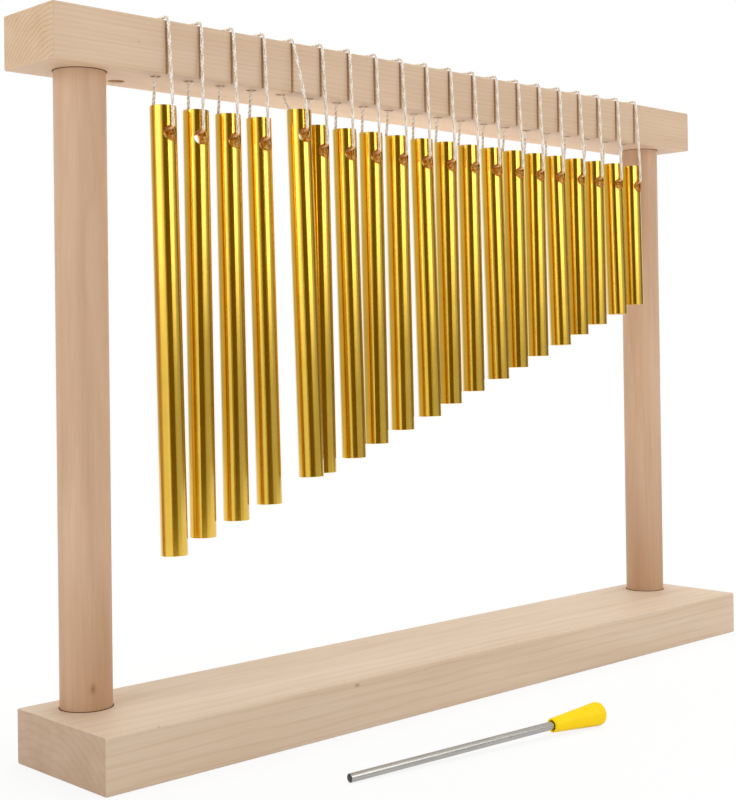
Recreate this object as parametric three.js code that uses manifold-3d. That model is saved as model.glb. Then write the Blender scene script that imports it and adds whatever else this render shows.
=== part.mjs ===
// Table-top bar chimes: twenty gold tubes of falling length hang on cord loops from a
// wooden bar, which two round posts carry over a base board. A beater lies in front.
// Millimetres, +Z up. The origin is under the middle of the base board, on the surface
// that it stands on. The tubes hang in a row along X, over the middle of the base, each
// one turned a little on its loop and swung a little forward from the bar's underside.

import * as THREE from "three";
import { mergeVertices, toCreasedNormals } from "three/addons/utils/BufferGeometryUtils.js";
import Module from "manifold-3d";

// Tubes
const tubeCount = 20;
const tubeDiameter = 10;
const tubeWallThickness = 1;
const tubeSpacing = 15;
const longestTube = 165;
const shortestTube = 70;
const tubeDrop = 11.7;
const sideMetalWidth = 2;
const topMetalHeight = 7.4;
const turnAverageDegrees = -3;
const turnSpreadDegrees = 6;
const turnStepRadians = 2.3;
const swingAverageDegrees = 1;
const swingSpreadDegrees = 0.5;
const swingStepRadians = 2.05;

// The fifth tube, whose cord is caught up short
const caughtTubeNumber = 5;
const caughtDrop = 7.2;
const caughtSideOffset = 2.2;
const caughtFrontOffset = 4;
const caughtSwingDegrees = 2;

// Cords
const cordDiameter = 1.5;
const cordGap = 0.3;
const knotDiameter = 3;
const knotHeight = 3.8;
const knotClearance = 0.5;
const mouthBendRadius = 2;

// Top bar
const barHeight = 20;
const barDepth = 34;
const barEndLength = 11.5;
const barFrontOffset = 4;
const cordHoleDepth = 7.5;
const grooveWidth = 1.2;
const grooveDepth = 1.2;
const beaterHoleDiameter = 6.4;
const beaterHoleSideGap = 8;
const beaterHoleBackGap = 6;

// Posts and base board
const postDiameter = 19;
const postGap = 12;
const postChamferWidth = 0.6;
const socketFloorThickness = 8;
const socketClearance = 0.3;
const baseHeight = 20;
const baseEndLength = 9.5;
const backRimWidth = 6.5;
const clearHeight = 53.3;
const boardEdgeRadius = 1;

// Beater
const beaterLength = 119;
const rodDiameter = 3.2;
const rodClearance = 0.3;
const capLength = 25.5;
const capWallThickness = 0.8;
const capSolidLength = 9;
const capDiameter = 9.2;
const capEdgeRadius = 1.6;
const beaterGap = 46;
const beaterStartOffset = -120.7;
const beaterHeadingDegrees = -7.6;

// Facets round each kind of piece
const tubeSides = 16;
const crossHoleSides = 10;
const cordSides = 8;
const cordHoleSides = 8;
const postSides = 24;
const beaterSides = 16;
const roundingSteps = 2;
const creaseAngle = Math.PI / 6;

// How far each cutter runs past the face that it opens
const overcut = 1;

// Places that follow from the sizes
const tubeRadius = tubeDiameter / 2;
const cordRadius = cordDiameter / 2;
const cordReach = cordRadius + cordGap;
const knotRadius = knotDiameter / 2;
const postRadius = postDiameter / 2;
const rowHalf = (tubeCount - 1) * tubeSpacing / 2;
const crossHole = tubeDiameter - 2 * sideMetalWidth;
const crossHoleDrop = topMetalHeight + crossHole / 2;
const cordHole = knotDiameter + 2 * knotClearance;
const barFront = -barFrontOffset;
const barBack = barFront + barDepth;
const barMiddle = (barFront + barBack) / 2;
const barUnderside = baseHeight + clearHeight + longestTube + tubeDrop;
const barTop = barUnderside + barHeight;
const holeY = barFront + cordHoleDepth;
const rowY = (barFront - cordReach + holeY) / 2;
const postX = rowHalf + tubeRadius + postGap + postRadius;
const barLength = 2 * (postX + postRadius + barEndLength);
const baseLength = 2 * (postX + postRadius + baseEndLength);
const baseDepth = 2 * (barMiddle + postRadius + backRimWidth);
const capBore = rodDiameter / 2 + rodClearance;
const capStart = beaterLength - capLength;
const capBoreEnd = beaterLength - capSolidLength;
const rodLength = capBoreEnd - rodClearance;

// Finishes
const boardWood = { color: 0xdcbd98, roughness: 0.6, metalness: 0 };
const postWood = { color: 0xcfa688, roughness: 0.55, metalness: 0 };
const goldMetal = { color: 0xd9a520, roughness: 0.22, metalness: 1 };
const cordFibre = { color: 0xf5ecdc, roughness: 0.85, metalness: 0 };
const rodSteel = { color: 0xb9bcc0, roughness: 0.25, metalness: 1 };
const capPlastic = { color: 0xfad414, roughness: 0.4, metalness: 0 };

const wasm = await Module();
wasm.setup();

// Joining and cutting

function toSolid(geometry) {
  const plain = geometry.clone();
  plain.deleteAttribute("normal");
  plain.deleteAttribute("uv");
  const merged = mergeVertices(plain, 1e-4);
  return new wasm.Manifold(new wasm.Mesh({
    numProp: 3,
    vertProperties: new Float32Array(merged.attributes.position.array),
    triVerts: new Uint32Array(merged.index.array),
  }));
}

function toGeometry(solid) {
  const mesh = solid.getMesh();
  const geometry = new THREE.BufferGeometry();
  geometry.setAttribute("position", new THREE.BufferAttribute(mesh.vertProperties, 3));
  geometry.setIndex(new THREE.BufferAttribute(mesh.triVerts, 1));
  return toCreasedNormals(geometry, creaseAngle);
}

function cut(geometry, cutters) {
  let solid = toSolid(geometry);
  for (const cutter of cutters) {
    solid = solid.subtract(toSolid(cutter));
  }
  return toGeometry(solid);
}

// Simple shapes

function upright(radius, bottom, top, x, y, sides) {
  const shape = new THREE.CylinderGeometry(radius, radius, top - bottom, sides);
  shape.rotateX(Math.PI / 2);
  shape.translate(x, y, (bottom + top) / 2);
  return shape;
}

// A board with its edges eased, standing on z = 0 with its middle over the origin
function easedBoard(length, depth, height) {
  const bevel = boardEdgeRadius / 2;
  const x = length / 2 - boardEdgeRadius;
  const y = depth / 2 - boardEdgeRadius;
  const outline = new THREE.Shape();
  outline.moveTo(-x, -y - bevel);
  outline.lineTo(x, -y - bevel);
  outline.absarc(x, -y, bevel, -Math.PI / 2, 0);
  outline.absarc(x, y, bevel, 0, Math.PI / 2);
  outline.absarc(-x, y, bevel, Math.PI / 2, Math.PI);
  outline.absarc(-x, -y, bevel, Math.PI, Math.PI * 1.5);
  const board = new THREE.ExtrudeGeometry(outline, {
    depth: height - 2 * bevel,
    bevelThickness: bevel,
    bevelSize: bevel,
    bevelSegments: 1,
    curveSegments: 1,
  });
  board.translate(0, 0, bevel);
  return board;
}

function named(name, geometry, finish) {
  const mesh = new THREE.Mesh(geometry, new THREE.MeshStandardMaterial(finish));
  mesh.name = name;
  return mesh;
}

function numbered(prefix, number) {
  return `${prefix}_${String(number).padStart(2, "0")}`;
}

// An angle that differs from tube to tube, as hand-tied loops leave it
function unevenly(number, averageDegrees, spreadDegrees, stepRadians) {
  return THREE.MathUtils.degToRad(averageDegrees + spreadDegrees * Math.sin(stepRadians * number));
}

// Where each tube hangs, counted from the longest at the left
function hanging(number) {
  const share = (number - 1) / (tubeCount - 1);
  const caught = number === caughtTubeNumber;
  const drop = caught ? caughtDrop : tubeDrop;
  const length = longestTube + (shortestTube - longestTube) * share;
  return {
    length,
    cordX: -rowHalf + (number - 1) * tubeSpacing,
    x: -rowHalf + (number - 1) * tubeSpacing + (caught ? caughtSideOffset : 0),
    y: rowY - (caught ? caughtFrontOffset : 0),
    bottom: barUnderside - drop - length,
    crossHoleZ: barUnderside - drop - crossHoleDrop,
    turn: unevenly(number, turnAverageDegrees, turnSpreadDegrees, turnStepRadians),
    swing: caught
      ? THREE.MathUtils.degToRad(caughtSwingDegrees)
      : unevenly(number, swingAverageDegrees, swingSpreadDegrees, swingStepRadians),
  };
}

// A square-cut tube, cross-drilled from front to back near its top
function chimeTube(place) {
  const inner = tubeRadius - tubeWallThickness;
  const profile = [
    new THREE.Vector2(inner, 0),
    new THREE.Vector2(tubeRadius, 0),
    new THREE.Vector2(tubeRadius, place.length),
    new THREE.Vector2(inner, place.length),
    new THREE.Vector2(inner, 0),
  ];
  const tube = new THREE.LatheGeometry(profile, tubeSides);
  tube.rotateX(Math.PI / 2);
  const drill = new THREE.CylinderGeometry(
    crossHole / 2, crossHole / 2, tubeDiameter + 2 * overcut, crossHoleSides);
  drill.translate(0, 0, place.crossHoleZ - place.bottom);
  return cut(tube, [drill]);
}

// A cord's rings lie on its route's own points: close in the bends, far apart on straights
class CordRoute extends THREE.CatmullRomCurve3 {
  getUtoTmapping(u) {
    return u;
  }
}

// Quarter-bend points from one compass angle to another, in the plane x = 0
function bend(y, z, radius, from, to) {
  return [0, 0.5, 1].map((share) => {
    const angle = THREE.MathUtils.degToRad(from + (to - from) * share);
    return new THREE.Vector3(0, y + radius * Math.cos(angle), z + radius * Math.sin(angle));
  });
}

// The loop's route: from the knot in the mouth of the bar's hole, forward over the top,
// down in front of its groove, through the tube's two cross-holes and up the hole again
function loopRoute(place) {
  const overBar = barTop + cordReach;
  const frontBend = boardEdgeRadius + cordReach;
  const knotZ = barTop - knotHeight / 2 - cordGap;
  const wallTop = place.crossHoleZ + crossHole / 2;
  const rim = place.bottom + place.length;
  const mouthZ = overBar - mouthBendRadius;
  const top = [
    new THREE.Vector3(0, holeY, knotZ + cordGap),
    ...bend(holeY - mouthBendRadius, mouthZ, mouthBendRadius, 0, 90),
    ...bend(barFront + boardEdgeRadius, barTop - boardEdgeRadius, frontBend, 90, 180),
  ];
  const back = [
    new THREE.Vector3(0, holeY, barUnderside + cordDiameter),
    new THREE.Vector3(0, holeY, knotZ - cordGap),
  ];
  const atTube = [
    new THREE.Vector3(0, -tubeRadius - cordReach, rim),
    ...bend(-tubeRadius, wallTop, cordReach, 180, 270),
    ...bend(tubeRadius, wallTop, cordReach, 270, 360),
    new THREE.Vector3(0, tubeRadius + cordReach, rim),
  ];
  for (const point of atTube) {
    point.applyAxisAngle(new THREE.Vector3(0, 0, 1), place.turn);
    point.z -= barUnderside;
    point.applyAxisAngle(new THREE.Vector3(1, 0, 0), -place.swing);
    point.add(new THREE.Vector3(place.x - place.cordX, place.y, barUnderside));
  }
  return [...top, ...atTube, ...back];
}

function cordLoop(place) {
  const section = new THREE.Shape();
  section.absarc(0, 0, cordRadius, 0, Math.PI * 2);
  const points = loopRoute(place);
  const strand = new THREE.ExtrudeGeometry(section, {
    steps: points.length - 1,
    curveSegments: cordSides / 2,
    extrudePath: new CordRoute(points),
  });
  const knot = new THREE.IcosahedronGeometry(knotRadius);
  knot.scale(1, 1, knotHeight / knotDiameter);
  knot.translate(0, holeY, barTop - knotHeight / 2 - cordGap);
  return toGeometry(toSolid(strand).add(toSolid(knot)));
}

// Stand

function baseBoard() {
  const socket = postRadius + socketClearance;
  return cut(easedBoard(baseLength, baseDepth, baseHeight), [
    upright(socket, socketFloorThickness, baseHeight + overcut, -postX, barMiddle, postSides),
    upright(socket, socketFloorThickness, baseHeight + overcut, postX, barMiddle, postSides),
  ]);
}

function topBar() {
  const socket = postRadius + socketClearance;
  const socketTop = barTop - socketFloorThickness;
  const below = barUnderside - overcut;
  const above = barTop + overcut;
  const storeX = -postX + postRadius + beaterHoleSideGap + beaterHoleDiameter / 2;
  const storeY = barBack - beaterHoleBackGap - beaterHoleDiameter / 2;
  const board = easedBoard(barLength, barDepth, barHeight);
  board.translate(0, barMiddle, barUnderside);
  const cutters = [
    upright(socket, below, socketTop, -postX, barMiddle, postSides),
    upright(socket, below, socketTop, postX, barMiddle, postSides),
    upright(beaterHoleDiameter / 2, below, above, storeX, storeY, beaterSides),
  ];
  for (let number = 1; number <= tubeCount; number += 1) {
    const x = hanging(number).cordX;
    const groove = new THREE.BoxGeometry(grooveWidth, 2 * grooveDepth, above - below);
    groove.translate(x, barFront, barUnderside + barHeight / 2);
    cutters.push(groove, upright(cordHole / 2, below, above, x, holeY, cordHoleSides));
  }
  return cut(board, cutters);
}

// A round post, seated in a blind socket at each end
function post() {
  const bottom = socketFloorThickness + socketClearance;
  const top = barTop - socketFloorThickness - socketClearance;
  const profile = [
    new THREE.Vector2(0, bottom),
    new THREE.Vector2(postRadius - postChamferWidth, bottom),
    new THREE.Vector2(postRadius, bottom + postChamferWidth),
    new THREE.Vector2(postRadius, top - postChamferWidth),
    new THREE.Vector2(postRadius - postChamferWidth, top),
    new THREE.Vector2(0, top),
  ];
  const shape = new THREE.LatheGeometry(profile, postSides);
  shape.rotateX(Math.PI / 2);
  return shape;
}

// Beater, drawn along +X from the rod's bare end

function beaterRod() {
  const rod = new THREE.CylinderGeometry(rodDiameter / 2, rodDiameter / 2, rodLength, beaterSides);
  rod.rotateZ(-Math.PI / 2);
  rod.translate(rodLength / 2, 0, 0);
  return rod;
}

// A tapered cap with a rounded end and a blind bore that grips the rod
function beaterCap() {
  const profile = new THREE.Shape();
  profile.moveTo(0, capBoreEnd);
  profile.lineTo(capBore, capBoreEnd);
  profile.lineTo(capBore, capStart);
  profile.lineTo(capBore + capWallThickness, capStart);
  profile.lineTo(capDiameter / 2, beaterLength - capEdgeRadius);
  profile.absarc(
    capDiameter / 2 - capEdgeRadius, beaterLength - capEdgeRadius, capEdgeRadius, 0, Math.PI / 2);
  profile.lineTo(0, beaterLength);
  const cap = new THREE.LatheGeometry(profile.getPoints(roundingSteps), beaterSides);
  cap.rotateZ(-Math.PI / 2);
  return cap;
}

// Assembly

const chimes = new THREE.Group();
chimes.name = "bar_chimes";

chimes.add(named("base_board", baseBoard(), boardWood));
const leftPost = named("left_post", post(), postWood);
leftPost.position.set(-postX, barMiddle, 0);
const rightPost = named("right_post", post(), postWood);
rightPost.position.set(postX, barMiddle, 0);
chimes.add(leftPost, rightPost, named("top_bar", topBar(), boardWood));

for (let number = 1; number <= tubeCount; number += 1) {
  const place = hanging(number);
  const tube = named(numbered("tube", number), chimeTube(place), goldMetal);
  tube.position.z = place.bottom - barUnderside;
  tube.rotation.z = place.turn;
  const swinging = new THREE.Group();
  swinging.position.set(place.x, place.y, barUnderside);
  swinging.rotation.x = -place.swing;
  swinging.add(tube);
  const cord = named(numbered("cord", number), cordLoop(place), cordFibre);
  cord.position.x = place.cordX;
  chimes.add(swinging, cord);
}

// The beater rests on its rod's bare end and on the widest part of its cap
const beater = new THREE.Group();
const rise = Math.atan2((capDiameter - rodDiameter) / 2, beaterLength - capEdgeRadius);
beater.position.set(beaterStartOffset, -baseDepth / 2 - beaterGap, rodDiameter / 2 * Math.cos(rise));
beater.rotation.set(0, -rise, THREE.MathUtils.degToRad(beaterHeadingDegrees), "ZYX");
beater.add(named("beater_rod", beaterRod(), rodSteel));
beater.add(named("beater_cap", beaterCap(), capPlastic));
chimes.add(beater);

export default chimes;
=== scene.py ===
from math import atan2, cos, pi, radians, sin, tau

import bmesh
import bpy
from mathutils import Matrix, Vector


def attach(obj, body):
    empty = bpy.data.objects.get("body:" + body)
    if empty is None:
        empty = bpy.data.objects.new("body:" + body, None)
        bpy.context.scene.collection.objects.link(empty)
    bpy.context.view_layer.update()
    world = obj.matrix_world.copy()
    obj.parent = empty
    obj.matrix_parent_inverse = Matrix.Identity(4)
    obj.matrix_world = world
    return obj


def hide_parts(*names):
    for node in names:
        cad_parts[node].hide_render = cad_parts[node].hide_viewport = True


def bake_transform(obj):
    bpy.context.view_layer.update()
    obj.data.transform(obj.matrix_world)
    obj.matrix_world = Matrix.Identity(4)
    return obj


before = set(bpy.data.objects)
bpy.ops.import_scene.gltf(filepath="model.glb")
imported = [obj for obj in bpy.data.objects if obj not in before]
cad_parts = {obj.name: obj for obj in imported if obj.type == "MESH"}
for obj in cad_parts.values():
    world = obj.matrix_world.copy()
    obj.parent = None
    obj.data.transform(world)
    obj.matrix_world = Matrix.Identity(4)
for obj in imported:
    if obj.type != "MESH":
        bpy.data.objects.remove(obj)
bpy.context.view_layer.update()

scene = bpy.context.scene
mm = 0.001  # every size below is in millimetres, every Blender object in metres


# Small tools.

def colour(hexCode):
    # sRGB hex to the linear colour that Blender's sockets take
    parts = [int(hexCode[i:i + 2], 16) / 255 for i in (1, 3, 5)]
    return [p / 12.92 if p <= 0.04045 else ((p + 0.055) / 1.055) ** 2.4 for p in parts] + [1.0]


def addNode(tree, kind, settings=None, links=None):
    # settings: the node's own properties ("stops" fills a colour ramp)
    # links: input name or number -> a node (its first output), a list of nodes, an output
    # socket, or a plain value
    node = tree.nodes.new(kind)
    for name, value in (settings or {}).items():
        if name == "stops":
            ramp = node.color_ramp.elements
            while len(ramp) < len(value):
                ramp.new(1.0)
            for stop, (place, shade) in zip(ramp, value):
                stop.position = place
                stop.color = colour(shade)
        else:
            setattr(node, name, value)
    for name, value in (links or {}).items():
        socket = node.inputs[name]
        several = isinstance(value, list) and hasattr(value[0], "outputs")
        for item in value if several else [value]:
            if hasattr(item, "outputs"):
                item = item.outputs[0]
            if hasattr(item, "is_linked"):
                tree.links.new(item, socket)
            else:
                socket.default_value = item
    return node


# settings that many nodes share
multiply = {"operation": "MULTIPLY"}
multiplyAdd = {"operation": "MULTIPLY_ADD"}
divide = {"operation": "DIVIDE"}
scaled = {"operation": "SCALE"}
absolute = {"operation": "ABSOLUTE"}
subtract = {"operation": "SUBTRACT"}
length = {"operation": "LENGTH"}
mixed = {"data_type": "RGBA"}
multiplyColour = {"data_type": "RGBA", "blend_type": "MULTIPLY"}
smoothStep = {"interpolation_type": "SMOOTHSTEP"}
exactCut = {"operation": "DIFFERENCE", "solver": "EXACT"}
origin = (0.0, 0.0, 0.0)


def addObject(name, data):
    piece = bpy.data.objects.new(name, data)
    scene.collection.objects.link(piece)
    return piece


def plainMesh(name, points, edges=(), faces=()):
    mesh = bpy.data.meshes.new(name)
    mesh.from_pydata([Vector(p) * mm for p in points], edges, faces)
    return mesh


def settle(piece):
    # bakes every modifier into the piece's mesh and takes the modifiers off
    graph = bpy.context.evaluated_depsgraph_get()
    mesh = bpy.data.meshes.new_from_object(
        piece.evaluated_get(graph), preserve_all_data_layers=True, depsgraph=graph)
    piece.modifiers.clear()
    piece.data = mesh
    mesh.name = piece.name


def newTree(name, sizes):
    # a Geometry Nodes tree with one named input for each size
    tree = bpy.data.node_groups.new(name, "GeometryNodeTree")
    kinds = {int: "NodeSocketInt", float: "NodeSocketFloat", tuple: "NodeSocketVector"}
    tree.interface.new_socket("Geometry", in_out="INPUT", socket_type="NodeSocketGeometry")
    for label, value in sizes.items():
        socket = tree.interface.new_socket(label, in_out="INPUT", socket_type=kinds[type(value)])
        socket.default_value = value
    tree.interface.new_socket("Material", in_out="INPUT", socket_type="NodeSocketMaterial")
    tree.interface.new_socket("Geometry", in_out="OUTPUT", socket_type="NodeSocketGeometry")
    return tree, addNode(tree, "NodeGroupInput").outputs


def closeTree(tree, geometry, given):
    real = addNode(tree, "GeometryNodeRealizeInstances", {}, {"Geometry": geometry})
    dressed = addNode(tree, "GeometryNodeSetMaterial", {}, {
        "Geometry": real, "Material": given["Material"]})
    addNode(tree, "NodeGroupOutput", {}, {0: dressed})


def addNodes(piece, tree, values):
    # puts the tree on the piece; its inputs are set by identifier before the first evaluation
    modifier = piece.modifiers.new(tree.name, "NODES")
    modifier.node_group = tree
    for socket in tree.interface.items_tree:
        if socket.in_out == "INPUT" and socket.name in values:
            modifier[socket.identifier] = values[socket.name]


def newMaterial(name):
    material = bpy.data.materials.new(name)
    material.use_nodes = True
    tree = material.node_tree
    tree.nodes.clear()
    return material, tree


def finishMaterial(tree, links):
    surface = addNode(tree, "ShaderNodeBsdfPrincipled", {}, links)
    addNode(tree, "ShaderNodeOutputMaterial", {}, {"Surface": surface})


# Camera, where the photograph was taken from.

photoView = {
    "place": (-448.954, -439.950, 148.533),
    "heading": -44.0507,
    "pitch": 0.5218,
    "roll": 0.7405,
    "lens": 64.53,
    "sensor": 36,
    "shift": (-0.0348, -0.0827),
}

camera = addObject("photoCamera", bpy.data.cameras.new("photoCamera"))
scene.camera = camera
camera.data.sensor_width = photoView["sensor"]
camera.data.lens = photoView["lens"]
camera.data.shift_x, camera.data.shift_y = photoView["shift"]
camera.data.clip_start = 0.01
camera.matrix_world = (
    Matrix.Translation(Vector(photoView["place"]) * mm)
    @ Matrix.Rotation(radians(photoView["heading"]), 4, "Z")
    @ Matrix.Rotation(radians(photoView["pitch"]), 4, "X")
    @ Matrix.Rotation(radians(photoView["roll"]), 4, "Y")
    @ Matrix.Rotation(radians(90), 4, "X"))
scene.view_settings.view_transform = "Standard"
print("camera is set")


# The row: where each tube hangs.

row = {
    "count": 20,
    "spacing": 15,
    "longest": 165,
    "shortest": 70,
    "drop": 11.7,
    "rowY": -0.775,
    "turn": (-3, 6, 2.3),  # average and spread in degrees, step in radians
    "swing": (1, 0.5, 2.05),
    "caught": 5,  # the tube whose cord is caught up short
    "caughtDrop": 7.2,
    "caughtSide": 2.2,
    "caughtFront": 4,
    "caughtSwing": 2,
}

tube = {
    "diameter": 10,
    "wall": 1,
    "holeDiameter": 6,
    "holeDrop": 10.4,
    "rimEasing": 0.16,
    "holeEasing": 0.14,
    "drillLength": 16,
    "sides": 96,
    "holeSides": 48,
}
holeTop = tube["holeDiameter"] / 2 - tube["holeDrop"]

bar = {
    "length": 380,
    "front": -4,
    "back": 30,
    "underside": 250,
    "top": 270,
    "edge": 0.8,
    "slotWidth": 1.2,
    "slotDepth": 1.2,
    "holeDiameter": 4,
    "holeY": 3.5,
    "mouthEasing": 0.22,
    "storeHole": (-148.3, 20.8),
    "storeDiameter": 6.4,
    "storeEasing": 0.32,
}


def uneven(number, rule):
    average, spread, step = rule
    return radians(average + spread * sin(step * number))


def hanging(number):
    # the place of one tube: its axis, its top, its turn and its swing
    caught = number == row["caught"]
    cordX = (number - (row["count"] + 1) / 2) * row["spacing"]
    share = (number - 1) / (row["count"] - 1)
    x = cordX + (row["caughtSide"] if caught else 0)
    y = row["rowY"] - (row["caughtFront"] if caught else 0)
    turn = Matrix.Rotation(uneven(number, row["turn"]), 4, "Z")
    swing = radians(row["caughtSwing"]) if caught else uneven(number, row["swing"])
    swung = Matrix.Rotation(-swing, 4, "X")
    drop = row["caughtDrop"] if caught else row["drop"]
    return {
        "cordX": cordX,
        "x": x,
        "y": y,
        "length": row["longest"] + (row["shortest"] - row["longest"]) * share,
        # from a tube drawn with its top at the origin to where it hangs
        "matrix": Matrix.Translation((x, y, bar["underside"])) @ swung
        @ Matrix.Translation((0, 0, -drop)) @ turn,
    }


# Cords: one braided loop for each tube.

cord = {
    "diameter": 1.5,
    "gap": 0.3,
    "braidDiameter": 1.47,
    "strandDiameter": 0.56,
    "crossingDepth": 0.16,
    "coreDiameter": 0.62,
    "pitch": 3.1,
    "strandsEachWay": 2,
    "pointSpacing": 0.26,
    "mouthBend": 2,
    "knotDiameter": 3,
    "knotHeight": 3.8,
    "knotSlack": 0.1,
    "goldLightFade": 0.8,  # length over which the painted gold light comes in, inside the tube
    "bendLength": 8,  # part below the bar that bends as the tube swings
}


def bend(y, z, radius, start, end):
    steps = 10
    angles = [radians(start + (end - start) * i / steps) for i in range(steps + 1)]
    return [Vector((0, y + radius * cos(a), z + radius * sin(a))) for a in angles]


def loopRoute(place):
    # knot in the hole's mouth, over the bar's top, down its front, through the tube's two
    # holes and up the bar's hole again to the knot
    reach = cord["diameter"] / 2 + cord["gap"]
    edge = 1  # the cord bends over the bar's edge as if it were rounded to this
    wall, holeY, curve = tube["diameter"] / 2, bar["holeY"], cord["mouthBend"]
    knotZ = bar["top"] - cord["knotHeight"] / 2 - cord["gap"]
    shift = Vector((place["cordX"], 0, 0))
    top = [Vector((0, holeY, knotZ + cord["gap"]))]
    top += bend(holeY - curve, bar["top"] + reach - curve, curve, 0, 90)
    top += bend(bar["front"] + edge, bar["top"] - edge, edge + reach, 90, 180)
    below = [Vector((0, -wall - reach, 0))]
    below += bend(-wall, holeTop, reach, 180, 270)
    below += bend(wall, holeTop, reach, 270, 360)
    below += [Vector((0, wall + reach, 0))]
    back = [Vector((0, holeY, bar["underside"] + cord["diameter"])),
            Vector((0, holeY, knotZ - cord["gap"]))]
    return ([shift + p for p in top] + [place["matrix"] @ p for p in below]
            + [shift + p for p in back])


def knotRoute(place):
    # two close turns, drawn up into a barrel in the mouth of the hole
    radius, slack = (cord["knotDiameter"] - cord["diameter"]) / 2, cord["knotSlack"]
    rise = cord["knotHeight"] - cord["diameter"] - 2 * slack
    low = bar["top"] - cord["gap"] - cord["knotHeight"] + cord["diameter"] / 2 + slack
    turns, steps = 2.25, 54
    points = []
    for i in range(steps + 1):
        angle = tau * turns * i / steps
        points.append(Vector((place["cordX"] + radius * cos(angle),
                              bar["holeY"] + radius * sin(angle), low + rise * i / steps)))
    return points


def braidTree():
    # Two sets of strands wind round the route, one to the right and one to the left.
    # Each strand's distance from the middle rises and falls so that they pass over and
    # under one another in turn.
    tree, given = newTree("braidedCord", {
        "Strand Diameter": 0.0, "Core Diameter": 0.0, "Strand Middle": 0.0,
        "Crossing Depth": 0.0, "Pitch": 0.0, "Strands Each Way": 2, "Strands": 4,
        "Point Spacing": 0.0})
    route = addNode(tree, "GeometryNodeMeshToCurve", {}, {"Mesh": given["Geometry"]})
    even = addNode(tree, "GeometryNodeResampleCurve", {"mode": "LENGTH"}, {
        "Curve": route, "Length": given["Point Spacing"]})
    strands = addNode(tree, "GeometryNodeDuplicateElements", {"domain": "SPLINE"}, {
        "Geometry": even, "Amount": given["Strands"]})
    number = strands.outputs["Duplicate Index"]
    odd = addNode(tree, "ShaderNodeMath", {"operation": "MODULO"}, {0: number, 1: 2.0})
    hand = addNode(tree, "ShaderNodeMath", multiplyAdd, {0: odd, 1: -2.0, 2: 1.0})
    pair = addNode(tree, "ShaderNodeMath", multiply, {0: number, 1: 0.5})
    whole = addNode(tree, "ShaderNodeMath", {"operation": "FLOOR"}, {0: pair})
    share = addNode(tree, "ShaderNodeMath", divide, {0: whole, 1: given["Strands Each Way"]})
    start = addNode(tree, "ShaderNodeMath", multiply, {0: share, 1: tau})
    along = addNode(tree, "GeometryNodeSplineParameter").outputs["Length"]
    turns = addNode(tree, "ShaderNodeMath", divide, {0: along, 1: given["Pitch"]})
    wound = addNode(tree, "ShaderNodeMath", multiply, {0: turns, 1: tau})
    angle = addNode(tree, "ShaderNodeMath", multiplyAdd, {0: hand, 1: wound, 2: start})
    crossing = addNode(tree, "ShaderNodeMath", multiply, {0: wound, 1: given["Strands Each Way"]})
    wave = addNode(tree, "ShaderNodeMath", {"operation": "COSINE"}, {0: crossing})
    lift = addNode(tree, "ShaderNodeMath", multiply, {0: hand, 1: wave})
    reach = addNode(tree, "ShaderNodeMath", multiplyAdd, {
        0: lift, 1: given["Crossing Depth"], 2: given["Strand Middle"]})
    forward = addNode(tree, "ShaderNodeMath", {"operation": "COSINE"}, {0: angle})
    sideways = addNode(tree, "ShaderNodeMath", {"operation": "SINE"}, {0: angle})
    normal = addNode(tree, "GeometryNodeInputNormal")
    tangent = addNode(tree, "GeometryNodeInputTangent")
    side = addNode(tree, "ShaderNodeVectorMath", {"operation": "CROSS_PRODUCT"}, {
        0: tangent, 1: normal})
    one = addNode(tree, "ShaderNodeVectorMath", scaled, {0: normal, "Scale": forward})
    two = addNode(tree, "ShaderNodeVectorMath", scaled, {0: side, "Scale": sideways})
    out = addNode(tree, "ShaderNodeVectorMath", {"operation": "ADD"}, {0: one, 1: two})
    away = addNode(tree, "ShaderNodeVectorMath", scaled, {0: out, "Scale": reach})
    braid = addNode(tree, "GeometryNodeSetPosition", {}, {
        "Geometry": strands.outputs["Geometry"], "Offset": away})
    # 1 where a strand passes over and 0 where it passes under; the material paints shade from it
    onTop = addNode(tree, "ShaderNodeMath", multiplyAdd, {0: lift, 1: 0.5, 2: 0.5})
    named = addNode(tree, "GeometryNodeStoreNamedAttribute", {}, {
        "Geometry": braid, "Name": "onTop", "Value": onTop})
    pipes = []
    for line, width, sides in ((named, "Strand Diameter", 6), (even, "Core Diameter", 8)):
        radius = addNode(tree, "ShaderNodeMath", multiply, {0: given[width], 1: 0.5})
        ring = addNode(tree, "GeometryNodeCurvePrimitiveCircle", {}, {
            "Resolution": sides, "Radius": radius})
        pipes.append(addNode(tree, "GeometryNodeCurveToMesh", {}, {
            "Curve": line, "Profile Curve": ring, "Fill Caps": True}))
    both = addNode(tree, "GeometryNodeJoinGeometry", {}, {0: pipes})
    smooth = addNode(tree, "GeometryNodeSetShadeSmooth", {}, {"Geometry": both})
    closeTree(tree, smooth, given)
    return tree


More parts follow.
